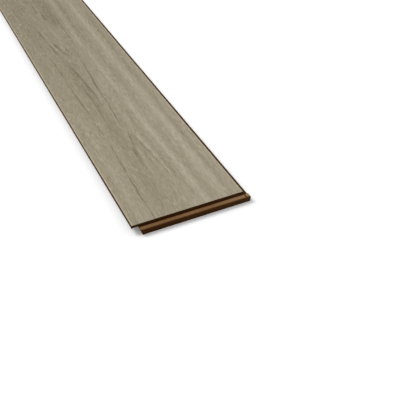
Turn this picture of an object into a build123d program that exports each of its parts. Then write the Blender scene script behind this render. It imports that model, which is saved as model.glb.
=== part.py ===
"""Laminate floor plank.

A fibreboard core with a drop-in joint milled along its four edges, faced with
a thin decor sheet that is pressed over the core's two bevelled long edges.

Millimetres. X runs across the plank, Y along it and Z up. The origin is the
bottom centre of the plank's overall box. The lower lips are on the right long
side (+X) and the near end (-Y). The overhangs that drop over a neighbour's
lips are on the left long side (-X) and the far end (+Y).
"""

import os

from build123d import *

# The face and the whole board
face_length = 1215.0
face_width = 143.0
plank_thickness = 12.0
decor_thickness = 0.5

# Pressed bevel along the two long edges of the face, equal across and down
face_bevel = 0.8

# Lower lips: how far they stand out past the face, and how deep their tops lie below it
side_lip_reach = 5.7
end_lip_reach = 7.4
lip_drop = 3.8

# Step at the lips' corner, where the end lip stands out past the tip of the side lip
corner_step = 1.3

# Shoulder cut off the outer top edge of each lip, across and down
side_shoulder_run = 1.1
side_shoulder_fall = 1.6
end_shoulder_run = 0.8
end_shoulder_fall = 0.8

# Rounding of the long upper edges of both lips, two to a lip
lip_round = 0.4

# How far the outer face of each lip leans in towards the underside
side_lip_lean = 0.6
end_lip_lean = 0.6

# Locking channel between each lip and the wall behind it, with a sloping outer side
channel_width = 1.6
channel_depth = 1.4
channel_slope = 0.6

# Room left in the joint: at its seats, and past the tip of a lip
seat_gap = 0.2
swell_gap = 1.2

# How far the wall under an overhang leans back towards the underside
undercut_lean = 2.4

# The overall box, and where the face's edges lie in it
corner_reach = side_lip_reach + corner_step
overall_width = face_width + corner_reach
overall_length = face_length + end_lip_reach
left_edge = -overall_width / 2
right_edge = left_edge + face_width
near_edge = overall_length / 2 - face_length

# Levels above the underside
core_top = plank_thickness - decor_thickness
bevel_foot = core_top - face_bevel
lip_top = plank_thickness - lip_drop
channel_floor = lip_top - channel_depth
overhang_under = lip_top + seat_gap
rib_foot = channel_floor + seat_gap


def joint_outline(overall, lip_reach, shoulder_run, shoulder_fall, lip_lean):
    """Corners of a core section that has its overhang at the low end and its lip at the high end."""
    overhang_edge = -overall / 2
    lip_tip = overall / 2
    wall = lip_tip - lip_reach
    channel_end = wall + channel_width
    undercut_wall = overhang_edge + lip_reach + swell_gap
    return [
        (overhang_edge, core_top),
        (wall, core_top),
        (wall, channel_floor),
        (channel_end - channel_slope, channel_floor),
        (channel_end, lip_top),
        (lip_tip - shoulder_run, lip_top),
        (lip_tip, lip_top - shoulder_fall),
        (lip_tip - lip_lean, 0),
        (undercut_wall + undercut_lean, 0),
        (undercut_wall, overhang_under),
        (overhang_edge, overhang_under),
    ]


def side_trim_outline():
    """Corners of what is milled off beside the face, down to the side lip's own tip."""
    side_tip = right_edge + side_lip_reach
    corner_tip = overall_width / 2
    return [
        (side_tip - side_shoulder_run, lip_top),
        (side_tip, lip_top - side_shoulder_fall),
        (side_tip - side_lip_lean, 0),
        (corner_tip, 0),
        (corner_tip, lip_top),
    ]


def rib_outline(overall):
    """Corners of the rib at the edge of an overhang, which drops into a neighbour's channel."""
    overhang_edge = -overall / 2
    rib_end = overhang_edge + channel_width - seat_gap
    return [
        (overhang_edge, overhang_under),
        (rib_end, overhang_under),
        (rib_end - channel_slope, rib_foot),
        (overhang_edge, rib_foot),
    ]


os.makedirs("parts", exist_ok=True)

# Planes that look along the plank from the face's near end, and across it from the middle and the left
face_plane = Plane(origin=(0, near_edge, 0), x_dir=(1, 0, 0), z_dir=(0, -1, 0))
end_plane = Plane(origin=(0, 0, 0), x_dir=(0, -1, 0), z_dir=(-1, 0, 0))
left_plane = Plane(origin=(left_edge, 0, 0), x_dir=(0, -1, 0), z_dir=(-1, 0, 0))

# Core: the long edges' section runs the whole length, the ends' section trims it,
# the side lip is milled back beside the face, which leaves the step at the corner,
# and the ribs under the two overhangs are as long and as wide as the face
with BuildPart() as core_board:
    with BuildSketch(Plane.XZ):
        with BuildLine():
            Polyline(
                *joint_outline(
                    overall_width, corner_reach, side_shoulder_run, side_shoulder_fall, side_lip_lean
                ),
                close=True,
            )
        make_face()
    extrude(amount=overall_length / 2, both=True)
    with BuildSketch(end_plane):
        with BuildLine():
            Polyline(
                *joint_outline(
                    overall_length, end_lip_reach, end_shoulder_run, end_shoulder_fall, end_lip_lean
                ),
                close=True,
            )
        make_face()
    extrude(amount=overall_width / 2, both=True, mode=Mode.INTERSECT)
    with BuildSketch(face_plane):
        with BuildLine():
            Polyline(*side_trim_outline(), close=True)
        make_face()
    extrude(amount=-face_length, mode=Mode.SUBTRACT)
    top_edges = core_board.edges().group_by(Axis.Z)[-1]
    chamfer(top_edges.filter_by(Axis.Y), face_bevel)
    lip_edges = core_board.edges().filter_by_position(Axis.Z, lip_top - seat_gap / 2, lip_top + seat_gap / 2)
    fillet(lip_edges.sort_by(SortBy.LENGTH)[-4:], lip_round)
    with BuildSketch(face_plane):
        with BuildLine():
            Polyline(*rib_outline(overall_width), close=True)
        make_face()
    extrude(amount=-face_length)
    with BuildSketch(left_plane):
        with BuildLine():
            Polyline(*rib_outline(overall_length), close=True)
        make_face()
    extrude(amount=-face_width)

core_board.part.label = "core_board"
export_step(core_board.part, "parts/core_board.step")

# Decor sheet: even upright thickness over the core's top and its two bevels
with BuildPart() as decor_layer:
    with BuildSketch(face_plane):
        with BuildLine():
            Polyline(
                (left_edge, bevel_foot),
                (left_edge + face_bevel, core_top),
                (right_edge - face_bevel, core_top),
                (right_edge, bevel_foot),
                (right_edge, bevel_foot + decor_thickness),
                (right_edge - face_bevel, plank_thickness),
                (left_edge + face_bevel, plank_thickness),
                (left_edge, bevel_foot + decor_thickness),
                close=True,
            )
        make_face()
    extrude(amount=-face_length)

decor_layer.part.label = "decor_layer"
export_step(decor_layer.part, "parts/decor_layer.step")
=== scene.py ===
"""Dress the laminate floor plank and set it in a white studio.

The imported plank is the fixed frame. Two pieces stand for its nodes: the milled
core, a copy of the core board with eased edges and a papered underside, and the
decor sheet, a pressed oak face whose grain is embossed into the mesh. Metres,
in the frame of the part: X across, Y along, Z up. The printed grain is laid out
in millimetres from the near left corner of the face.
"""

import logging
import math
from dataclasses import dataclass, field
from enum import Enum
from typing import Any, NamedTuple, Optional

import bmesh
import bpy
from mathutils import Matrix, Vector


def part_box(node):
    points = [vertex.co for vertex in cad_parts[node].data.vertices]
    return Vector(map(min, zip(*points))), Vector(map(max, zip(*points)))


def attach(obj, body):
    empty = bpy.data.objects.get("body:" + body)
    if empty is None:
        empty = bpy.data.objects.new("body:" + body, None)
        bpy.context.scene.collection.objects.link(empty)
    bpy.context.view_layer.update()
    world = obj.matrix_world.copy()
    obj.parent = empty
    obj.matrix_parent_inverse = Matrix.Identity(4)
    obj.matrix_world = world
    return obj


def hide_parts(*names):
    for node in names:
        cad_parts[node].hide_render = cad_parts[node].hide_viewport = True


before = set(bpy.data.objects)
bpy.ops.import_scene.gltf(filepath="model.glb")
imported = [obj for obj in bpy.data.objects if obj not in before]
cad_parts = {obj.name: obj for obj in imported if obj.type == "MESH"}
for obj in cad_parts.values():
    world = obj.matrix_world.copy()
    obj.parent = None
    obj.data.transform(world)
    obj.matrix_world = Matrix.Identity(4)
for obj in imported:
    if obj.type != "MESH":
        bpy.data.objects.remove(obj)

Socket = bpy.types.NodeSocket
Colour = tuple[float, float, float, float]
LOG = logging.getLogger("plank")
MILLIMETRE = 0.001
WELD = 0.001 * MILLIMETRE
NOISE_MEAN = 0.5
BODY = "root"
FLOAT = "NodeSocketFloat"
COUNT = "NodeSocketInt"
VECTOR = "NodeSocketVector"


class Node(Enum):
    """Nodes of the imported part."""

    CORE = "core_board"
    DECOR = "decor_layer"


class Slot(Enum):
    """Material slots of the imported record."""

    CORE = "fibreboard"
    DECOR = "oak_decor"


class Mark(Enum):
    """Attributes of the meshes that the finishes read."""

    UPRIGHT = "upright"
    # painted shade along the flanks of the core
    FLANK_SHADE = "painted_flank_shade"
    BEVEL = "bevel"
    CUT_EDGE = "cut_edge"


def opaque(red: float, green: float, blue: float) -> Colour:
    """Return a linear colour with full alpha."""
    return (red, green, blue, 1.0)


def grey(level: float) -> Colour:
    """Return a linear grey with full alpha."""
    return opaque(level, level, level)


@dataclass(frozen=True)
class NoiseLook:
    """How a noise breaks up."""

    detail: float
    roughness: float
    distortion: float = 0.0


SOFT = NoiseLook(2.0, 0.5)
FINE = NoiseLook(3.0, 0.6)


@dataclass(frozen=True)
class Ramp:
    """A smooth change from start to end while a value goes from low to high."""

    low: float
    high: float
    start: float = 0.0
    end: float = 1.0


@dataclass(frozen=True)
class Relief:
    """The bump of a finish: how strong it is, and its depth in metres."""

    strength: float
    depth: float


class NodeGraph:
    """Adds nodes to one tree and links them, so that a finish reads as a list of steps."""

    def __init__(self, tree: bpy.types.NodeTree) -> None:
        """Keep the tree that the nodes go into."""
        self.tree = tree

    def feed(self, socket: Socket, value: Any) -> None:
        """Link a socket to another one, or set its own value.

        Args:
            socket: The input that takes the value.
            value: An output socket, or a plain value.
        """
        if isinstance(value, Socket):
            self.tree.links.new(value, socket)
        else:
            socket.default_value = value

    def add(self, kind: str, inputs: Optional[dict[Any, Any]] = None, **settings: Any) -> bpy.types.Node:
        """Add a node.

        Args:
            kind: The node's type name.
            inputs: Values or sockets by the input's name or number.
            settings: Properties of the node itself.

        Returns:
            The new node.
        """
        node = self.tree.nodes.new(kind)
        for name, value in settings.items():
            setattr(node, name, value)
        for key, value in (inputs or {}).items():
            self.feed(node.inputs[key], value)
        return node

    def group(self, tree: bpy.types.NodeTree, inputs: dict[str, Any]) -> Any:
        """Add a node group and return its outputs, by name."""
        return self.add("ShaderNodeGroup", inputs, node_tree=tree).outputs

    def math(self, operation: str, *values: Any, clamp: bool = False) -> Socket:
        """Return the result of a Math node on up to three values."""
        node = self.add("ShaderNodeMath", dict(enumerate(values)), operation=operation, use_clamp=clamp)
        return node.outputs[0]

    def total(self, *values: Any) -> Socket:
        """Return the sum of two or more values."""
        result = values[0]
        for value in values[1:]:
            result = self.math("ADD", result, value)
        return result

    def product(self, *values: Any) -> Socket:
        """Return the product of two or more values."""
        result = values[0]
        for value in values[1:]:
            result = self.math("MULTIPLY", result, value)
        return result

    def vector(self, across: Any, along: Any, up: Any = 0.0) -> Socket:
        """Return a vector made of three values."""
        return self.add("ShaderNodeCombineXYZ", {0: across, 1: along, 2: up}).outputs[0]

    def vector_math(self, operation: str, first: Any, second: Any) -> Socket:
        """Return the vector that a Vector Math node makes of two vectors."""
        return self.add("ShaderNodeVectorMath", {0: first, 1: second}, operation=operation).outputs[0]

    def parts(self, vector: Socket) -> Any:
        """Return a vector's three values."""
        return self.add("ShaderNodeSeparateXYZ", {0: vector}).outputs

    def attribute(self, mark: Mark) -> Socket:
        """Return the value of a mesh attribute."""
        return self.add("ShaderNodeAttribute", attribute_name=mark.value).outputs["Fac"]

    def noise(self, vector: Socket, seed: Any, look: NoiseLook, scale: Any = 1.0) -> Socket:
        """Return a seeded noise value, from 0 to 1."""
        node = self.add(
            "ShaderNodeTexNoise",
            {"Vector": vector, "W": seed, "Scale": scale, "Detail": look.detail,
             "Roughness": look.roughness, "Distortion": look.distortion},
            noise_dimensions="4D",
        )
        return node.outputs[0]

    def ramp(self, value: Socket, ramp: Ramp) -> Socket:
        """Return a value taken smoothly through a ramp."""
        node = self.add(
            "ShaderNodeMapRange",
            {"Value": value, "From Min": ramp.low, "From Max": ramp.high,
             "To Min": ramp.start, "To Max": ramp.end},
            interpolation_type="SMOOTHSTEP",
        )
        return node.outputs[0]

    def straight(self, value: Socket, low: float, high: float) -> Socket:
        """Return a value taken evenly from the range low to high into 0 to 1."""
        return self.add("ShaderNodeMapRange", {"Value": value, "From Min": low, "From Max": high}).outputs[0]

    def mix(self, factor: Any, first: Any, second: Any) -> Socket:
        """Return two colours mixed by a factor."""
        node = self.add("ShaderNodeMix", data_type="RGBA", clamp_factor=True)
        sockets = {socket.identifier: socket for socket in (*node.inputs, *node.outputs)}
        self.feed(sockets["Factor_Float"], factor)
        self.feed(sockets["A_Color"], first)
        self.feed(sockets["B_Color"], second)
        return sockets["Result_Color"]

    def mix_shaders(self, factor: Socket, first: bpy.types.Node, second: bpy.types.Node) -> bpy.types.Node:
        """Return a node that mixes two shaders by a factor."""
        return self.add("ShaderNodeMixShader", {0: factor, 1: first.outputs[0], 2: second.outputs[0]})


class FinishGraph(NodeGraph):
    """The graph of a new material, with its Principled shader and its Object coordinates."""

    def __init__(self, name: str) -> None:
        """Start the material."""
        self.material = bpy.data.materials.new(name)
        self.material.use_nodes = True
        super().__init__(self.material.node_tree)
        self.shader = self.tree.nodes["Principled BSDF"]
        self.place = self.add("ShaderNodeTexCoord").outputs["Object"]

    def mottled(self, mottle: bpy.types.NodeTree, seed: float, cloud_scale: float,
                fibre_scale: float) -> Any:
        """Return the masks of the shared fibre mottle, by name."""
        return self.group(mottle, {
            "Vector": self.place, "Seed": seed, "Cloud Scale": cloud_scale, "Fibre Scale": fibre_scale,
        })

    def rubbed(self, rubs: bpy.types.NodeTree, seed: float) -> Socket:
        """Return the mask of the shared handling rubs."""
        return self.group(rubs, {"Vector": self.place, "Seed": seed})["Rubs"]

    def surface(self, colour: Socket, roughness: Socket, height: Socket, relief: Relief,
                specular: float) -> None:
        """Feed the shader.

        Args:
            colour: The base colour.
            roughness: The roughness.
            height: The height of the bump.
            relief: The strength and depth of the bump.
            specular: The specular level.
        """
        bump = self.add(
            "ShaderNodeBump", {"Height": height, "Strength": relief.strength, "Distance": relief.depth}
        )
        self.feed(self.shader.inputs["Base Color"], colour)
        self.feed(self.shader.inputs["Roughness"], roughness)
        self.feed(self.shader.inputs["Normal"], bump.outputs[0])
        self.feed(self.shader.inputs["Specular IOR Level"], specular)


def new_group(name: str, kind: str, inputs: dict[str, str],
              outputs: dict[str, str]) -> tuple[NodeGraph, Any, bpy.types.Node]:
    """Start a node group with named sockets.

    Args:
        name: The group's name.
        kind: The tree's type name.
        inputs: Socket type by input name.
        outputs: Socket type by output name.

    Returns:
        The graph, its inputs by name, and its output node.
    """
    tree = bpy.data.node_groups.new(name, kind)
    for label, socket_type in inputs.items():
        tree.interface.new_socket(label, in_out="INPUT", socket_type=socket_type)
    for label, socket_type in outputs.items():
        tree.interface.new_socket(label, in_out="OUTPUT", socket_type=socket_type)
    graph = NodeGraph(tree)
    return graph, graph.add("NodeGroupInput").outputs, graph.add("NodeGroupOutput")


@dataclass(frozen=True)
class FibreMottle:
    """The mottle of pressed wood fibre that the core and the backing paper share."""

    cloud_look: NoiseLook = NoiseLook(3.0, 0.55, 0.3)
    cloud: Ramp = Ramp(0.32, 0.68)
    fibre_look: NoiseLook = NoiseLook(3.0, 0.7, 1.2)
    fibre: Ramp = Ramp(0.28, 0.72)
    fibre_seed: float = 7.3
    speck_look: NoiseLook = NoiseLook(1.0, 0.4, 0.6)
    specks: Ramp = Ramp(0.62, 0.74)
    speck_seed: float = 13.1
    speck_scale: float = 0.6

    def group(self) -> bpy.types.NodeTree:
        """Build the mottle.

        Returns:
            A group with a soft cloud mask, a fine fibre mask and a speck mask.
        """
        graph, given, result = new_group(
            "FibreMottle", "ShaderNodeTree",
            {"Vector": VECTOR, "Seed": FLOAT, "Cloud Scale": FLOAT, "Fibre Scale": FLOAT},
            {"Cloud": FLOAT, "Fibre": FLOAT, "Specks": FLOAT},
        )
        point, seed, fine = given["Vector"], given["Seed"], given["Fibre Scale"]
        cloud = graph.noise(point, seed, self.cloud_look, given["Cloud Scale"])
        fibre = graph.noise(point, graph.total(seed, self.fibre_seed), self.fibre_look, fine)
        coarser = graph.product(fine, self.speck_scale)
        specks = graph.noise(point, graph.total(seed, self.speck_seed), self.speck_look, coarser)
        graph.feed(result.inputs["Cloud"], graph.ramp(cloud, self.cloud))
        graph.feed(result.inputs["Fibre"], graph.ramp(fibre, self.fibre))
        graph.feed(result.inputs["Specks"], graph.ramp(specks, self.specks))
        return graph.tree


@dataclass(frozen=True)
class HandlingRubs:
    """The faint, lengthwise rubs of handling that all the finishes share."""

    stretch: tuple[float, float, float] = (30.0, 6.0, 30.0)
    look: NoiseLook = NoiseLook(4.0, 0.6, 0.4)
    rubs: Ramp = Ramp(0.35, 0.7)

    def group(self) -> bpy.types.NodeTree:
        """Build the rubs.

        Returns:
            A group with one mask of soft rubs.
        """
        graph, given, result = new_group(
            "HandlingRubs", "ShaderNodeTree", {"Vector": VECTOR, "Seed": FLOAT}, {"Rubs": FLOAT},
        )
        stretched = graph.add("ShaderNodeMapping", {"Vector": given["Vector"], "Scale": self.stretch})
        broad = graph.noise(stretched.outputs[0], given["Seed"], self.look)
        graph.feed(result.inputs["Rubs"], graph.ramp(broad, self.rubs))
        return graph.tree


@dataclass(frozen=True)
class Streak:
    """A light or dark run of grain between two points of the face."""

    start: tuple[float, float]
    end: tuple[float, float]
    width: float
    strength: float


def grain_streak_group(fade: float = 0.22) -> bpy.types.NodeTree:
    """Build one run of grain between two points of the face.

    Args:
        fade: The share of the run's length over which it fades at each end.

    Returns:
        A group whose mask is 1 on the run's line and fades to 0 beside it and at its ends.
    """
    numbers = ("Across", "Along", "Start Across", "Start Along", "End Across", "End Along", "Width")
    graph, value, result = new_group(
        "GrainStreak", "ShaderNodeTree", {name: FLOAT for name in numbers}, {"Mask": FLOAT},
    )
    run = graph.math("SUBTRACT", value["End Along"], value["Start Along"])
    share = graph.math("DIVIDE", graph.math("SUBTRACT", value["Along"], value["Start Along"]), run)
    shift = graph.math("SUBTRACT", value["End Across"], value["Start Across"])
    line = graph.math("MULTIPLY_ADD", shift, share, value["Start Across"])
    offset = graph.math("ABSOLUTE", graph.math("SUBTRACT", value["Across"], line))
    core = graph.ramp(graph.math("DIVIDE", offset, value["Width"]), Ramp(0.0, 1.0, 1.0, 0.0))
    start = graph.ramp(share, Ramp(0.0, fade))
    end = graph.ramp(share, Ramp(1.0 - fade, 1.0, 1.0, 0.0))
    graph.feed(result.inputs["Mask"], graph.product(core, start, end))
    return graph.tree


@dataclass(frozen=True)
class RingLine:
    """A growth ring picked out of the figure: its radius and width in millimetres, and how dark it is."""

    radius: float
    width: float
    strength: float


@dataclass(frozen=True)
class GrainNoise:
    """A noise drawn out along the plank: the step of its seed, its pitch across and its run along."""

    step: int
    pitch: float
    run: float
    look: NoiseLook = SOFT

    def draw(self, graph: NodeGraph, seed: float, across: Socket, along: Socket) -> Socket:
        """Draw the noise.

        Args:
            graph: The material's graph.
            seed: The seed that the step is added to.
            across: Millimetres from the face's left edge.
            along: Millimetres from the face's near end.

        Returns:
            The noise, from about -0.5 to 0.5.
        """
        point = graph.vector(graph.math("DIVIDE", across, self.pitch), graph.math("DIVIDE", along, self.run))
        return graph.math("SUBTRACT", graph.noise(point, seed + self.step, self.look), NOISE_MEAN)


@dataclass(frozen=True)
class GrainSwing(GrainNoise):
    """A grain noise that swings a value to both sides, by its gain."""

    gain: float = 1.0

    def draw(self, graph: NodeGraph, seed: float, across: Socket, along: Socket) -> Socket:
        """Return the noise times its gain."""
        return graph.product(super().draw(graph, seed, across, along), self.gain)


@dataclass(frozen=True)
class GrainMask(GrainNoise):
    """A grain noise taken through a ramp."""

    ramp: Ramp = Ramp(0.0, 1.0)

    def draw(self, graph: NodeGraph, seed: float, across: Socket, along: Socket) -> Socket:
        """Return the mask that the ramp makes of the noise."""
        return graph.ramp(super().draw(graph, seed, across, along), self.ramp)


class Grain(NamedTuple):
    """The maps of the printed grain: how dark it is, its fine pores, its pale flecks and its fibre."""

    tone: Socket
    pores: Socket
    flecks: Socket
    fibre: Socket


@dataclass(frozen=True)
class ToneStep:
    """A colour of the print that takes over evenly between two tones."""

    low: float
    high: float
    colour: Colour


@dataclass(frozen=True)
class OakDecor:
    """The printed grey oak of the decor sheet, under a matt resin overlay."""

    name: str = "grey_oak_print"
    seed: float = 4.0

    # Colours of the print, from its palest tone to its deepest
    pale: Colour = opaque(0.483, 0.427, 0.326)
    steps: tuple[ToneStep, ...] = (
        ToneStep(-0.6, -0.1, opaque(0.396, 0.347, 0.253)),
        ToneStep(-0.1, 0.5, opaque(0.305, 0.263, 0.180)),
        ToneStep(0.5, 1.1, opaque(0.203, 0.171, 0.104)),
        ToneStep(1.1, 1.7, opaque(0.118, 0.095, 0.044)),
    )

    # Edges: painted highlights on the pressed bevels and in a pale strip just inside them, painted shade at
    # the left foot, and the cut sides, their own brown darkened further as painted shade
    bevel: Colour = opaque(0.760, 0.640, 0.430)
    painted_bevel_highlight: Ramp = Ramp(0.15, 0.6)
    painted_edge_highlight: Ramp = Ramp(0.8, 3.2, 0.28, 0.0)
    # painted shade along the left edge of the face
    painted_left_shade: Colour = opaque(0.075, 0.028, 0.002)
    painted_left_shade_reach: Ramp = Ramp(0.20, 0.65, 1.0, 0.0)
    # the cut sides' own brown, darkened further as painted shade
    edge: Colour = opaque(0.045, 0.018, 0.006)

    # Gloss and relief
    roughness: float = 0.52
    rub_roughness: float = 0.08
    pore_roughness: float = 0.15
    specular: float = 0.28
    relief: Relief = Relief(0.35, 0.15 * MILLIMETRE)
    fibre_sink: float = 0.8

    # Broad tone ramps of the face, in millimetres along it and across it: darker from the near end to the
    # middle, lighter again toward the far end, and darker at the left side than at the right
    base_tone: float = 0.36
    near_shade: Ramp = Ramp(60.0, 700.0, -0.12, 0.36)
    far_shade: Ramp = Ramp(720.0, 1200.0, 0.0, -0.36)
    side_shade: Ramp = Ramp(20.0, 125.0, 0.12, -0.12)

    # Noises that bend and break the drawn grain
    drift: GrainSwing = GrainSwing(1, 34.0, 95.0, gain=7.0)
    waver: GrainSwing = GrainSwing(2, 7.0, 17.0, gain=2.4)
    breaks: GrainMask = GrainMask(3, 6.0, 36.0, FINE, Ramp(-0.16, 0.10, 0.25, 1.0))
    patches: GrainMask = GrainMask(10, 22.0, 120.0, SOFT, Ramp(-0.16, 0.12, 0.45, 1.1))

    # Noises that make the fine grain
    fibre: GrainNoise = GrainNoise(4, 1.3, 17.0, NoiseLook(4.0, 0.62))
    fibre_gain: float = 1.35
    pores: GrainMask = GrainMask(6, 1.0, 14.0, FINE, Ramp(0.05, 0.20))
    pore_gate: GrainMask = GrainMask(5, 11.0, 70.0, SOFT, Ramp(-0.10, 0.12))
    flecks: GrainMask = GrainMask(7, 1.4, 10.0, FINE, Ramp(0.05, 0.19))
    fleck_lift: float = 1.2
    fleck_loss: float = 0.6
    ring_shade: GrainSwing = GrainSwing(8, 5.0, 330.0, NoiseLook(3.0, 0.55), 0.55)
    strands: GrainSwing = GrainSwing(9, 3.0, 38.0, FINE, 0.75)
    sweeps: GrainSwing = GrainSwing(11, 6.5, 150.0, SOFT, 0.35)
    threads: GrainNoise = GrainNoise(12, 1.7, 12.0, FINE)
    gathering: GrainMask = GrainMask(13, 19.0, 52.0, SOFT, Ramp(-0.12, 0.12, 0.7, 2.7))

    # The figure: nested rings that meet in a waist
    figure_centre: float = 60.0
    figure_lean: float = -0.012
    figure_waist: float = 292.0
    figure_period: float = 1100.0
    figure_half_width: float = 38.8
    figure_bluntness: float = 20.0
    figure_least_growth: float = 0.03
    rings_begin: Ramp = Ramp(270.0, 370.0)
    rings: tuple[RingLine, ...] = (
        RingLine(36.3, 1.5, 0.18),
        RingLine(33.0, 1.2, 0.26),
        RingLine(29.2, 1.3, -0.24),
        RingLine(27.0, 1.2, 0.26),
        RingLine(21.0, 1.3, 0.28),
        RingLine(14.5, 1.5, 0.28),
    )

    # Broad bands of light and dark
    bands: tuple[Streak, ...] = (
        Streak((120.5, -160.0), (117.5, 820.0), 8.0, -0.35),
        Streak((109.0, -120.0), (100.0, 900.0), 7.0, 0.26),
        Streak((66.0, -60.0), (68.0, 480.0), 9.0, 0.10),
        Streak((99.5, -120.0), (86.0, 560.0), 6.5, -0.36),
        Streak((89.0, 400.0), (91.0, 900.0), 6.0, -0.34),
        Streak((84.0, 40.0), (80.0, 260.0), 6.0, 0.42),
        Streak((129.0, -60.0), (131.0, 620.0), 5.5, 0.36),
        Streak((50.0, -60.0), (47.0, 520.0), 13.0, 0.34),
        Streak((72.0, 500.0), (68.0, 820.0), 16.0, 0.42),
        Streak((20.0, -110.0), (12.0, 300.0), 15.0, -0.24),
        Streak((61.0, 180.0), (72.5, 445.0), 1.3, 0.58),
        Streak((80.0, 20.0), (93.0, -60.0), 5.0, -0.35),
        Streak((26.0, 430.0), (14.0, 900.0), 10.0, 0.12),
        Streak((38.0, 700.0), (30.0, 1230.0), 9.0, -0.30),
        Streak((96.0, 780.0), (104.0, 1260.0), 8.0, 0.34),
        Streak((122.0, 850.0), (126.0, 1300.0), 7.0, -0.32),
    )

    # Narrow lines
    lines: tuple[Streak, ...] = (
        Streak((60.5, 172.0), (73.0, 458.0), 1.4, 0.52),
        Streak((71.0, 366.0), (71.8, 434.0), 1.4, 0.42),
        Streak((59.0, 275.0), (49.0, 392.0), 2.0, 0.40),
        Streak((57.0, 320.0), (52.0, 395.0), 1.8, -0.40),
        Streak((60.5, 413.0), (51.5, 437.0), 2.8, 0.60),
        Streak((54.0, 424.0), (49.0, 476.0), 2.8, 0.60),
        Streak((60.0, 418.0), (70.0, 438.0), 2.6, 0.52),
        Streak((68.5, 430.0), (71.5, 474.0), 2.0, 0.50),
        Streak((61.0, 426.0), (60.5, 446.0), 2.2, 0.50),
        Streak((60.5, 440.0), (60.0, 460.0), 2.2, 0.50),
        Streak((60.0, 442.0), (58.0, 486.0), 5.0, -0.20),
        Streak((52.5, 392.0), (46.0, 464.0), 1.9, -0.60),
        Streak((47.8, 438.0), (40.5, 524.0), 1.9, -0.55),
        Streak((44.5, 416.0), (35.5, 536.0), 2.0, 0.62),
        Streak((41.0, 418.0), (38.0, 462.0), 2.0, -0.35),
        Streak((31.5, 190.0), (28.5, -30.0), 1.5, 0.85),
        Streak((32.5, 150.0), (28.5, 430.0), 1.5, 0.80),
        Streak((57.5, 250.0), (51.0, 400.0), 4.2, 0.50),
        Streak((46.0, 170.0), (47.5, 330.0), 1.6, 0.46),
        Streak((99.5, 370.0), (98.0, 700.0), 1.8, 0.62),
        Streak((77.0, 420.0), (79.5, 600.0), 1.5, 0.60),
        Streak((61.0, 170.0), (68.5, 150.0), 2.4, 0.45),
        Streak((64.5, 182.0), (74.5, 118.0), 2.0, 0.66),
        Streak((71.5, 142.0), (78.5, 55.0), 2.0, 0.60),
        Streak((74.0, 100.0), (87.0, -30.0), 1.6, 0.40),
        Streak((66.0, 140.0), (69.0, 60.0), 1.8, 0.40),
        Streak((70.0, 210.0), (85.0, -20.0), 3.4, -0.42),
        Streak((64.5, 182.0), (57.0, 122.0), 2.0, 0.55),
        Streak((56.0, 152.0), (57.5, 66.0), 3.0, 0.56),
        Streak((61.0, 480.0), (57.0, 545.0), 2.6, -0.35),
        Streak((60.0, 566.0), (61.0, 612.0), 2.6, 0.70),
        Streak((52.0, 588.0), (55.0, 640.0), 3.0, 0.55),
        Streak((20.0, 575.0), (18.0, 640.0), 2.4, 0.35),
        Streak((88.0, 720.0), (84.0, 1010.0), 1.4, 0.55),
        Streak((44.0, 820.0), (50.0, 1180.0), 1.3, 0.55),
    )

    def figure(self, graph: NodeGraph, across: Socket, along: Socket) -> tuple[Socket, Socket]:
        """Draw the nested cathedral rings of a plain-sawn board, which meet in a waist.

        Args:
            graph: The material's graph.
            across: Millimetres from the face's left edge.
            along: Millimetres from the face's near end.

        Returns:
            The ring radius, and how fast it grows over the face.
        """
        run = graph.math("ADD", along, -self.figure_waist)
        centre = graph.math("MULTIPLY_ADD", run, self.figure_lean, self.figure_centre)
        offset = graph.math("SUBTRACT", across, centre)
        phase = graph.product(run, 2.0 * math.pi / self.figure_period)
        half = 0.5 * self.figure_half_width ** 2
        waist = graph.math("MULTIPLY_ADD", graph.math("COSINE", phase), half, half + self.figure_bluntness)
        ring = graph.math("SQRT", graph.math("MULTIPLY_ADD", offset, offset, waist))
        slope = graph.product(graph.math("SINE", phase), math.pi * half / self.figure_period)
        steepness = graph.math("MULTIPLY_ADD", offset, offset, graph.product(slope, slope))
        growth = graph.math("DIVIDE", graph.math("SQRT", steepness), ring)
        return ring, graph.math("MAXIMUM", growth, self.figure_least_growth)

    def ring_lines(self, graph: NodeGraph, ring: Socket, growth: Socket) -> Socket:
        """Add up the tones of the rings that are picked out.

        Args:
            graph: The material's graph.
            ring: The ring radius.
            growth: How fast the radius grows over the face.

        Returns:
            The summed tone.
        """
        tone: Any = 0.0
        for line in self.rings:
            offset = graph.math("ABSOLUTE", graph.math("SUBTRACT", ring, line.radius))
            mask = graph.ramp(graph.math("DIVIDE", offset, growth), Ramp(0.0, line.width, 1.0, 0.0))
            tone = graph.math("MULTIPLY_ADD", mask, line.strength, tone)
        return tone

    def drawn(self, graph: NodeGraph, runs: tuple[Streak, ...], across: Socket, along: Socket,
              group: bpy.types.NodeTree) -> Socket:
        """Add up the tones of several runs of grain.

        Args:
            graph: The material's graph.
            runs: The runs to draw.
            across: Millimetres from the face's left edge.
            along: Millimetres from the face's near end.
            group: The group that draws one run.

        Returns:
            The summed tone.
        """
        tone: Any = 0.0
        for run in runs:
            mask = graph.group(group, {
                "Across": across, "Along": along,
                "Start Across": run.start[0], "Start Along": run.start[1],
                "End Across": run.end[0], "End Along": run.end[1], "Width": run.width,
            })["Mask"]
            tone = graph.math("MULTIPLY_ADD", mask, run.strength, tone)
        return tone

    def grain(self, graph: NodeGraph, across: Socket, along: Socket) -> Grain:
        """Draw the grain.

        Args:
            graph: The material's graph.
            across: Millimetres from the face's left edge.
            along: Millimetres from the face's near end.

        Returns:
            The maps of the grain.
        """
        def draw(noise: GrainNoise, place: Socket = across) -> Socket:
            """Return one of the noises of the grain."""
            return noise.draw(graph, self.seed, place, along)

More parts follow.
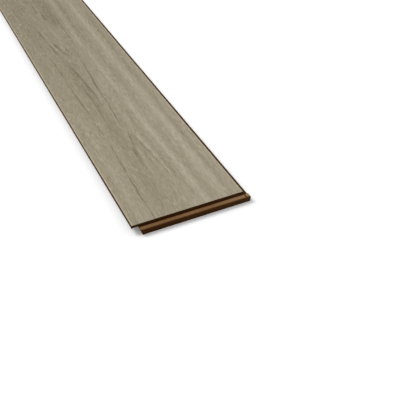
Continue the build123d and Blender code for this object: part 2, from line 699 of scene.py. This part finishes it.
        bent = graph.total(across, draw(self.drift), draw(self.waver))
        ring, growth = self.figure(graph, bent, along)
        group = grain_streak_group()
        broken = draw(self.breaks)
        ringed = graph.product(broken, graph.ramp(along, self.rings_begin))
        fibre = draw(self.fibre)
        tone = graph.total(
            self.base_tone,
            graph.ramp(along, self.near_shade),
            graph.ramp(along, self.far_shade),
            graph.ramp(across, self.side_shade),
            graph.product(self.drawn(graph, self.bands, bent, along, group), draw(self.patches)),
            graph.product(self.drawn(graph, self.lines, bent, along, group), broken),
            graph.product(self.ring_lines(graph, ring, growth), ringed),
            draw(self.ring_shade, ring),
            draw(self.strands),
            draw(self.sweeps),
            graph.product(draw(self.threads), draw(self.gathering)),
            graph.product(fibre, self.fibre_gain),
        )
        gate = draw(self.pore_gate)
        pores = graph.product(draw(self.pores), gate)
        flecks = graph.product(draw(self.flecks), graph.math("MULTIPLY_ADD", gate, -self.fleck_loss, 1.0))
        return Grain(tone, pores, flecks, fibre)

    def edged(self, graph: NodeGraph, colour: Socket, across: Socket, width: float) -> Socket:
        """Lay the painted highlights of the bevels and of the strips inside them, the painted shade at the
        left foot and the darkened cut sides over the print.

        Args:
            graph: The material's graph.
            colour: The colour of the print.
            across: Millimetres from the face's left edge.
            width: The face's width, in millimetres.

        Returns:
            The colour with its edges.
        """
        from_edge = graph.math("MINIMUM", across, graph.math("SUBTRACT", width, across))
        # painted highlight: a pale strip just inside both long edges of the face
        colour = graph.mix(graph.ramp(from_edge, self.painted_edge_highlight), colour, self.bevel)
        # painted highlight on the pressed bevels
        colour = graph.mix(graph.ramp(graph.attribute(Mark.BEVEL), self.painted_bevel_highlight), colour, self.bevel)
        # painted shade on the outer part of the left bevel
        colour = graph.mix(graph.ramp(across, self.painted_left_shade_reach), colour, self.painted_left_shade)
        # the cut sides: their own brown, darkened further as painted shade
        return graph.mix(graph.attribute(Mark.CUT_EDGE), colour, self.edge)

    def material(self, corner: Vector, width: float, rubs: bpy.types.NodeTree) -> bpy.types.Material:
        """Build the decor material.

        Args:
            corner: The face's near left corner, in metres.
            width: The face's width, in metres.
            rubs: The shared group of handling rubs.

        Returns:
            The material.
        """
        graph = FinishGraph(self.name)
        from_corner = graph.vector_math("SUBTRACT", graph.place, corner)
        across, along, _ = graph.parts(graph.vector_math("MULTIPLY", from_corner, [1.0 / MILLIMETRE] * 3))
        grain = self.grain(graph, across, along)
        tone = graph.total(grain.tone, grain.pores, graph.product(grain.flecks, -self.fleck_lift))
        colour: Any = self.pale
        for step in self.steps:
            colour = graph.mix(graph.straight(tone, step.low, step.high), colour, step.colour)
        roughness = graph.total(
            self.roughness,
            graph.product(graph.rubbed(rubs, self.seed), self.rub_roughness),
            graph.product(grain.pores, self.pore_roughness),
        )
        height = graph.math("SUBTRACT", graph.product(grain.fibre, -self.fibre_sink), grain.pores)
        colour = self.edged(graph, colour, across, width / MILLIMETRE)
        graph.surface(colour, roughness, height, self.relief, self.specular)
        return graph.material


@dataclass(frozen=True)
class Fibreboard:
    """The bare pressed fibre of the milled edges, with painted shade: darker and redder where faces stand
    upright, darker still along the flanks and on the wall behind the end lip; lighter toward the right.
    """

    name: str = "milled_fibreboard"
    seed: float = 11.0
    light: Colour = opaque(0.270, 0.150, 0.066)
    dark: Colour = opaque(0.190, 0.092, 0.034)
    speck: Colour = opaque(0.115, 0.052, 0.020)
    # painted shade of faces that stand upright
    painted_upright_shade: Colour = opaque(0.112, 0.038, 0.006)
    # painted shade of the flanks and of the wall behind the end lip
    flank_shade_colour: Colour = opaque(0.052, 0.019, 0.0015)
    # paler brown toward the right side of the core
    lighter_right: Colour = opaque(0.390, 0.250, 0.130)
    lighter_right_reach: Ramp = Ramp(0.020, 0.074, 0.0, 0.6)
    cloud_scale: float = 42.0
    cloud_share: float = 0.55
    fibre_scale: float = 1300.0
    fibre_share: float = 0.45
    rub_share: float = -0.15
    upright_shade_break: float = 0.25
    speck_share: float = 0.5
    roughness: float = 0.86
    fibre_roughness: float = 0.08
    specular: float = 0.08
    relief: Relief = Relief(0.4, 0.2 * MILLIMETRE)
    speck_sink: float = 0.6

    def material(self, mottle: bpy.types.NodeTree, rubs: bpy.types.NodeTree) -> bpy.types.Material:
        """Build the fibreboard material.

        Args:
            mottle: The shared group of fibre mottle.
            rubs: The shared group of handling rubs.

        Returns:
            The material.
        """
        graph = FinishGraph(self.name)
        fibres = graph.mottled(mottle, self.seed, self.cloud_scale, self.fibre_scale)
        worn = graph.rubbed(rubs, self.seed)
        depth = graph.total(
            graph.product(fibres["Cloud"], self.cloud_share),
            graph.product(fibres["Fibre"], self.fibre_share),
            graph.product(worn, self.rub_share),
        )
        colour = graph.mix(depth, self.light, self.dark)
        across = graph.parts(graph.place)[0]
        # lighter toward the right side of the core
        colour = graph.mix(graph.ramp(across, self.lighter_right_reach), colour, self.lighter_right)
        # painted shade: faces that stand upright take a darker, redder brown, broken up a little by the
        # fibre
        kept = graph.math("MULTIPLY_ADD", fibres["Fibre"], -self.upright_shade_break, 1.0)
        colour = graph.mix(graph.product(graph.attribute(Mark.UPRIGHT), kept), colour, self.painted_upright_shade)
        # painted shade on the right side lip, the left wall and the wall behind the end lip
        colour = graph.mix(graph.attribute(Mark.FLANK_SHADE), colour, self.flank_shade_colour)
        colour = graph.mix(graph.product(fibres["Specks"], self.speck_share), colour, self.speck)
        roughness = graph.total(self.roughness, graph.product(fibres["Fibre"], self.fibre_roughness))
        height = graph.total(fibres["Fibre"], graph.product(fibres["Specks"], -self.speck_sink))
        graph.surface(colour, roughness, height, self.relief, self.specular)
        return graph.material


@dataclass(frozen=True)
class BackingPaper:
    """The plain balancing paper of the underside."""

    name: str = "backing_paper"
    seed: float = 23.0
    light: Colour = opaque(0.430, 0.345, 0.235)
    dark: Colour = opaque(0.350, 0.272, 0.180)
    cloud_scale: float = 25.0
    cloud_share: float = 0.35
    fibre_scale: float = 700.0
    fibre_share: float = 0.4
    roughness: float = 0.7
    rub_roughness: float = 0.15
    specular: float = 0.5
    relief: Relief = Relief(0.15, 0.1 * MILLIMETRE)

    def material(self, mottle: bpy.types.NodeTree, rubs: bpy.types.NodeTree) -> bpy.types.Material:
        """Build the paper material.

        Args:
            mottle: The shared group of fibre mottle.
            rubs: The shared group of handling rubs.

        Returns:
            The material.
        """
        graph = FinishGraph(self.name)
        fibres = graph.mottled(mottle, self.seed, self.cloud_scale, self.fibre_scale)
        worn = graph.rubbed(rubs, self.seed)
        depth = graph.total(
            graph.product(fibres["Cloud"], self.cloud_share),
            graph.product(fibres["Fibre"], self.fibre_share),
        )
        colour = graph.mix(depth, self.light, self.dark)
        roughness = graph.total(self.roughness, graph.product(worn, self.rub_roughness))
        graph.surface(colour, roughness, fibres["Fibre"], self.relief, self.specular)
        return graph.material


def evaluated_mesh(piece: bpy.types.Object) -> bpy.types.Mesh:
    """Return a plain mesh of a piece with its modifiers applied.

    Args:
        piece: The piece to evaluate.

    Returns:
        The new mesh.
    """
    graph = bpy.context.evaluated_depsgraph_get()
    evaluated = piece.evaluated_get(graph)
    mesh = bpy.data.meshes.new_from_object(evaluated, preserve_all_data_layers=True, depsgraph=graph)
    mesh.name = piece.name
    return mesh


@dataclass
class CoreBoard:
    """The milled core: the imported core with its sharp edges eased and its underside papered."""

    source: bpy.types.Object
    face_corner: Vector
    name: str = "milled_core"
    flat_within: float = math.radians(0.5)
    ease: float = 0.2 * MILLIMETRE
    ease_segments: int = 2
    ease_from: float = math.radians(20.0)
    paper_reach: float = 0.1 * MILLIMETRE
    paper_facing: float = 0.99
    # shares of painted flank shade: the right side lip and left-facing faces, and the wall behind the end
    # lip
    flank_shade_share: float = 0.9
    wall_shade_share: float = 0.5
    wall_facing: float = 0.9
    piece: Optional[bpy.types.Object] = field(default=None, init=False)

    def build(self) -> None:
        """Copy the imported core, join its facets into whole faces, ease the edges and mark the faces."""
        mesh = bpy.data.meshes.new(self.name)
        self.fill(mesh)
        self.piece = bpy.data.objects.new(self.name, mesh)
        bpy.context.collection.objects.link(self.piece)
        bevel = self.piece.modifiers.new("ease", "BEVEL")
        bevel.width = self.ease
        bevel.segments = self.ease_segments
        bevel.limit_method = "ANGLE"
        bevel.angle_limit = self.ease_from
        bevel.harden_normals = True
        self.piece.data = evaluated_mesh(self.piece)
        self.piece.modifiers.clear()
        self.mark(self.piece.data)

    def fill(self, mesh: bpy.types.Mesh) -> None:
        """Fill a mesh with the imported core's whole faces, the underside's with the second material.

        Args:
            mesh: The empty mesh.
        """
        shape = bmesh.new()
        shape.from_mesh(self.source.data)
        bmesh.ops.remove_doubles(shape, verts=shape.verts, dist=WELD)
        bmesh.ops.dissolve_limit(
            shape, angle_limit=self.flat_within, use_dissolve_boundaries=False,
            verts=shape.verts, edges=shape.edges, delimit=set(),
        )
        bmesh.ops.recalc_face_normals(shape, faces=shape.faces)
        for face in shape.faces:
            lowest = face.calc_center_median().z < self.paper_reach
            face.material_index = int(lowest and face.normal.z < -self.paper_facing)
            face.smooth = True
        shape.to_mesh(mesh)
        shape.free()

    def mark(self, mesh: bpy.types.Mesh) -> None:
        """Store how upright each face stands, which sets its painted shade, and its share of painted flank
        shade.

        Args:
            mesh: The mesh of the piece.
        """
        upright = mesh.attributes.new(Mark.UPRIGHT.value, "FLOAT", "FACE")
        painted_flank_shade = mesh.attributes.new(Mark.FLANK_SHADE.value, "FLOAT", "FACE")
        for number, face in enumerate(mesh.polygons):
            upright.data[number].value = 1.0 - max(0.0, face.normal.z) ** 2
            painted_flank_shade.data[number].value = self.flank_shade_on(face)

    def flank_shade_on(self, face: bpy.types.MeshPolygon) -> float:
        """Return a face's share of painted flank shade: most on the right side lip and on faces that turn
        left, some on the wall behind the end lip.
        """
        if face.center.x > self.face_corner.x and face.center.y > self.face_corner.y:
            return self.flank_shade_share
        if face.normal.y < -self.wall_facing and abs(face.center.y - self.face_corner.y) < self.ease:
            return self.wall_shade_share
        return self.flank_shade_share * max(0.0, -face.normal.x)

    def dress(self, fibre: bpy.types.Material, paper: bpy.types.Material) -> None:
        """Give the core its materials and its place on the body.

        Args:
            fibre: The material of the milled faces.
            paper: The material of the underside.
        """
        self.piece.data.materials.append(fibre)
        self.piece.data.materials.append(paper)
        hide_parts(Node.CORE.value)
        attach(self.piece, BODY)


@dataclass
class DecorSheet:
    """The pressed oak face: a closed sheet over the core's top and bevels, with its grain embossed."""

    lowest: Vector
    highest: Vector
    name: str = "decor_sheet"
    thickness: float = 0.5 * MILLIMETRE
    bevel: float = 0.8 * MILLIMETRE
    bevel_bend: float = 1.4
    bevel_columns: int = 6
    columns: int = 337
    rows: int = 137
    crease: float = math.radians(30.0)
    emboss: float = 0.07 * MILLIMETRE
    emboss_stretch: tuple[float, float, float] = (780.0, 17.0, 0.0)
    emboss_look: NoiseLook = NoiseLook(2.0, 0.55)
    emboss_ramp: Ramp = Ramp(0.50, 0.72)
    seed: float = 4.0
    piece: Optional[bpy.types.Object] = field(default=None, init=False)

    def inputs(self, finish: bpy.types.Material) -> dict[str, tuple[str, Any]]:
        """List the inputs of the geometry tree.

        Args:
            finish: The material of the sheet.

        Returns:
            Socket type and value by input name.
        """
        middle = (self.lowest + self.highest) / 2.0
        return {
            "Face Width": (FLOAT, self.highest.x - self.lowest.x),
            "Face Length": (FLOAT, self.highest.y - self.lowest.y),
            "Thickness": (FLOAT, self.thickness),
            "Bevel": (FLOAT, self.bevel),
            "Bevel Bend": (FLOAT, self.bevel_bend),
            "Bevel Columns": (COUNT, self.bevel_columns),
            "Columns": (COUNT, self.columns),
            "Rows": (COUNT, self.rows),
            "Crease": (FLOAT, self.crease),
            "Emboss Depth": (FLOAT, self.emboss),
            "Seed": (FLOAT, self.seed),
            "Origin": (VECTOR, (middle.x, middle.y, self.highest.z - self.thickness)),
            "Finish": ("NodeSocketMaterial", finish),
        }

    def pressed_place(self, graph: NodeGraph, size: Any) -> tuple[Socket, Socket]:
        """Work out where a point of the flat grid goes when the sheet is pressed over the bevels.

        Args:
            graph: The tree's graph.
            size: The tree's inputs, by name.

        Returns:
            The point's new place, and how far down the bevel it is, from 0 on the flat to 1 at the edge.
        """
        place = graph.parts(graph.add("GeometryNodeInputPosition").outputs[0])
        share = graph.math("ADD", graph.math("DIVIDE", place[0], size["Face Width"]), 0.5)
        last = graph.math("SUBTRACT", size["Columns"], 1.0)
        column = graph.product(share, last)
        bevelled = size["Bevel Columns"]
        inner = graph.math("SUBTRACT", last, bevelled)
        flat = graph.math("SUBTRACT", inner, bevelled)
        left = graph.math("DIVIDE", column, bevelled, clamp=True)
        middle = graph.math("DIVIDE", graph.math("SUBTRACT", column, bevelled), flat, clamp=True)
        right = graph.math("DIVIDE", graph.math("SUBTRACT", column, inner), bevelled, clamp=True)
        flat_width = graph.math("MULTIPLY_ADD", size["Bevel"], -2.0, size["Face Width"])
        across = graph.total(
            graph.product(size["Face Width"], -0.5),
            graph.product(size["Bevel"], left),
            graph.product(flat_width, middle),
            graph.product(size["Bevel"], right),
        )
        pressed = graph.total(graph.math("SUBTRACT", 1.0, left), right)
        drop = graph.product(graph.math("POWER", pressed, size["Bevel Bend"]), size["Bevel"], -1.0)
        return graph.vector_math("ADD", graph.vector(across, place[1], drop), size["Origin"]), pressed

    def tree(self, kinds: dict[str, str]) -> bpy.types.NodeTree:
        """Build the geometry tree of the sheet.

        Args:
            kinds: Socket type by input name.

        Returns:
            The tree, with one named input for each size.
        """
        graph, size, result = new_group(
            "PressedSheet", "GeometryNodeTree", kinds, {"Geometry": "NodeSocketGeometry"},
        )
        grid = graph.add("GeometryNodeMeshGrid", {
            "Size X": size["Face Width"], "Size Y": size["Face Length"],
            "Vertices X": size["Columns"], "Vertices Y": size["Rows"],
        })
        place, pressed = self.pressed_place(graph, size)
        marked = graph.add("GeometryNodeStoreNamedAttribute", {
            "Geometry": grid.outputs[0], "Name": Mark.BEVEL.value, "Value": pressed,
        }, data_type="FLOAT", domain="POINT")
        under = graph.add("GeometryNodeSetPosition", {"Geometry": marked.outputs[0], "Position": place})
        raised = graph.add("GeometryNodeExtrudeMesh", {
            "Mesh": under.outputs[0], "Offset": graph.vector(0.0, 0.0, 1.0),
            "Offset Scale": size["Thickness"], "Individual": False,
        }, mode="FACES")
        spot = graph.add("GeometryNodeInputPosition").outputs[0]
        stretched = graph.vector_math("MULTIPLY", spot, self.emboss_stretch)
        grain = graph.ramp(graph.noise(stretched, size["Seed"], self.emboss_look), self.emboss_ramp)
        embossed = graph.add("GeometryNodeSetPosition", {
            "Geometry": raised.outputs["Mesh"], "Selection": raised.outputs["Top"],
            "Offset": graph.vector(0.0, 0.0, graph.product(grain, size["Emboss Depth"], -1.0)),
        })
        cut = graph.add("GeometryNodeStoreNamedAttribute", {
            "Geometry": embossed.outputs[0], "Name": Mark.CUT_EDGE.value, "Value": raised.outputs["Side"],
        }, data_type="FLOAT", domain="FACE")
        underside = graph.add("GeometryNodeFlipFaces", {"Mesh": under.outputs[0]})
        joined = graph.add("GeometryNodeJoinGeometry")
        graph.feed(joined.inputs[0], cut.outputs[0])
        graph.feed(joined.inputs[0], underside.outputs[0])
        closed = graph.add("GeometryNodeMergeByDistance", {"Geometry": joined.outputs[0], "Distance": WELD})
        soft = graph.add("GeometryNodeSetShadeSmooth", {
            "Geometry": closed.outputs[0], "Shade Smooth": True,
        }, domain="FACE")
        turn = graph.add("GeometryNodeInputMeshEdgeAngle").outputs["Unsigned Angle"]
        crisp = graph.add("GeometryNodeSetShadeSmooth", {
            "Geometry": soft.outputs[0], "Selection": graph.math("GREATER_THAN", turn, size["Crease"]),
            "Shade Smooth": False,
        }, domain="EDGE")
        real = graph.add("GeometryNodeRealizeInstances", {"Geometry": crisp.outputs[0]})
        dressed = graph.add("GeometryNodeSetMaterial", {
            "Geometry": real.outputs[0], "Material": size["Finish"],
        })
        graph.feed(result.inputs["Geometry"], dressed.outputs[0])
        return graph.tree

    def build(self, finish: bpy.types.Material) -> None:
        """Run the geometry tree once and keep its mesh, with the finish in its only slot.

        Args:
            finish: The material of the sheet.
        """
        inputs = self.inputs(finish)
        tree = self.tree({name: kind for name, (kind, _) in inputs.items()})
        self.piece = bpy.data.objects.new(self.name, bpy.data.meshes.new(self.name))
        bpy.context.collection.objects.link(self.piece)
        modifier = self.piece.modifiers.new("sheet", "NODES")
        modifier.node_group = tree
        for item in tree.interface.items_tree:
            if item.in_out == "INPUT":
                modifier[item.identifier] = inputs[item.name][1]
        mesh = evaluated_mesh(self.piece)
        mesh.materials.clear()
        mesh.materials.append(finish)
        self.piece.data = mesh
        self.piece.modifiers.clear()

    def dress(self) -> None:
        """Give the sheet its place on the body."""
        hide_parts(Node.DECOR.value)
        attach(self.piece, BODY)


@dataclass
class Studio:
    """A white floor, one large soft lamp and an even surround."""

    near_end: float
    aim_along: float = 0.2
    floor_size: float = 24.0
    floor_drop: float = 0.1 * MILLIMETRE
    floor_shade: float = 1.0
    floor_lift: float = 0.15
    floor_bounce: float = 0.20
    whitening: Ramp = Ramp(1.0, 2.2)
    touching_reach: float = 0.5 * MILLIMETRE
    key_power: float = 400.0
    key_size: float = 4.5
    key_place: tuple[float, float, float] = (-3.6, 3.9, 6.3)
    sky: Ramp = Ramp(0.0, 0.9, 0.14, 0.60)

    def build(self) -> None:
        """Lay the floor, hang the lamp and set the surround."""
        target = Vector((0.0, self.near_end + self.aim_along, 0.0))
        self.floor(target)
        self.lamp(target)
        self.surround()
        bpy.context.scene.view_settings.view_transform = "Standard"

    def seen_mask(self, graph: NodeGraph) -> Socket:
        """Return 1 for rays that come from the camera, a reflection or a clear piece."""
        ray = graph.add("ShaderNodeLightPath").outputs
        shown = graph.math("MAXIMUM", ray["Is Camera Ray"], ray["Is Glossy Ray"])
        return graph.math("MAXIMUM", shown, ray["Is Transmission Ray"])

    def floor_material(self) -> bpy.types.Material:
        """Build the floor's finish, white to the camera but for the shadow, and dimmer for bounced light.

        Further out it is plain white. It is clear from below, and to rays that start on the plank just
        over it, so that the underside is lit.

        Returns:
            The material.
        """
        material = bpy.data.materials.new("studio_floor")
        material.use_nodes = True
        material.node_tree.nodes.clear()
        graph = NodeGraph(material.node_tree)
        lit = graph.add("ShaderNodeBsdfDiffuse", {"Color": grey(self.floor_shade)})
        lift = graph.add("ShaderNodeEmission", {"Strength": self.floor_lift})
        near = graph.add("ShaderNodeAddShader", {0: lit.outputs[0], 1: lift.outputs[0]})
        white = graph.add("ShaderNodeEmission", {"Strength": 1.0})
        place = graph.add("ShaderNodeTexCoord").outputs["Object"]
        away = graph.add("ShaderNodeVectorMath", {0: place}, operation="LENGTH").outputs["Value"]
        seen = graph.mix_shaders(graph.ramp(away, self.whitening), near, white)
        unseen = graph.add("ShaderNodeBsdfDiffuse", {"Color": grey(self.floor_bounce)})
        above = graph.mix_shaders(self.seen_mask(graph), unseen, seen)
        below = graph.add("ShaderNodeNewGeometry").outputs["Backfacing"]
        length = graph.add("ShaderNodeLightPath").outputs["Ray Length"]
        touching = graph.math("LESS_THAN", length, self.touching_reach)
        clear = graph.add("ShaderNodeBsdfTransparent")
        surface = graph.mix_shaders(graph.math("MAXIMUM", below, touching), above, clear)
        graph.add("ShaderNodeOutputMaterial", {"Surface": surface.outputs[0]})
        return material

    def floor(self, target: Vector) -> None:
        """Lay the floor just under the plank.

        Args:
            target: The point that the floor is centred under.
        """
        half = self.floor_size / 2.0
        sides = ((-half, -half), (half, -half), (half, half), (-half, half))
        corners = [(target.x + x, target.y + y, -self.floor_drop) for x, y in sides]
        mesh = bpy.data.meshes.new("studio_floor")
        mesh.from_pydata(corners, [], [(0, 1, 2, 3)])
        mesh.materials.append(self.floor_material())
        floor = bpy.data.objects.new("studio_floor", mesh)
        bpy.context.collection.objects.link(floor)

    def lamp(self, target: Vector) -> None:
        """Hang the soft lamp over the plank.

        Args:
            target: The point that the lamp looks at.
        """
        data = bpy.data.lights.new("key", "AREA")
        data.energy = self.key_power
        data.size = self.key_size
        lamp = bpy.data.objects.new("key", data)
        lamp.location = target + Vector(self.key_place)
        lamp.rotation_euler = (target - lamp.location).to_track_quat("-Z", "Y").to_euler()
        bpy.context.collection.objects.link(lamp)

    def surround(self) -> None:
        """Set the world: white to the camera, and for light brighter overhead and below than at the rim."""
        world = bpy.data.worlds.new("surround")
        world.use_nodes = True
        world.node_tree.nodes.clear()
        bpy.context.scene.world = world
        graph = NodeGraph(world.node_tree)
        up = graph.parts(graph.add("ShaderNodeTexCoord").outputs["Generated"])[2]
        level = graph.ramp(graph.math("ABSOLUTE", up), self.sky)
        light = graph.add("ShaderNodeBackground", {"Color": grey(1.0), "Strength": level})
        shown = graph.add("ShaderNodeBackground", {"Color": grey(1.0), "Strength": 1.0})
        mixed = graph.mix_shaders(self.seen_mask(graph), light, shown)
        graph.add("ShaderNodeOutputWorld", {"Surface": mixed.outputs[0]})


@dataclass(frozen=True)
class PhotoCamera:
    """The camera, placed from the near left corner of the face, in widths of the face and in degrees."""

    lens: float = 60.574
    sensor: float = 36.0
    nearest: float = 0.01
    pitch: float = 39.703
    turn: float = 25.762
    across: float = -1.2279
    along: float = -3.7865
    up: float = 3.5409

    def place(self, corner: Vector, width: float) -> None:
        """Add the camera and make it the scene's own.

        Args:
            corner: The near left corner of the face.
            width: The width of the face.
        """
        data = bpy.data.cameras.new("photo")
        data.lens = self.lens
        data.sensor_width = self.sensor
        data.clip_start = self.nearest
        camera = bpy.data.objects.new("photo", data)
        camera.location = corner + Vector((self.across, self.along, self.up)) * width
        camera.rotation_euler = (math.radians(90.0 - self.pitch), 0.0, math.radians(-self.turn))
        bpy.context.collection.objects.link(camera)
        bpy.context.scene.camera = camera


def main() -> None:
    """Build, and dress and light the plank."""
    logging.basicConfig(level=logging.INFO, format="%(message)s")
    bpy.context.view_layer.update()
    lowest, highest = (Vector(corner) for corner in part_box(Node.DECOR.value))
    width = highest.x - lowest.x
    near_left = Vector((lowest.x, lowest.y, highest.z))
    near_right = Vector((highest.x, lowest.y, highest.z))
    mottle, rubs = FibreMottle().group(), HandlingRubs().group()

    core = CoreBoard(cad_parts[Node.CORE.value], near_right)
    core.build()
    core.dress(Fibreboard().material(mottle, rubs), BackingPaper().material(mottle, rubs))

    sheet = DecorSheet(lowest, highest)
    sheet.build(OakDecor().material(near_left, width, rubs))
    sheet.dress()

    Studio(lowest.y).build()
    PhotoCamera().place(near_left, width)

    for piece in (core.piece, sheet.piece):
        LOG.info("%s: %d vertices, %d faces", piece.name, len(piece.data.vertices), len(piece.data.polygons))


if __name__ == "__main__":
    main()
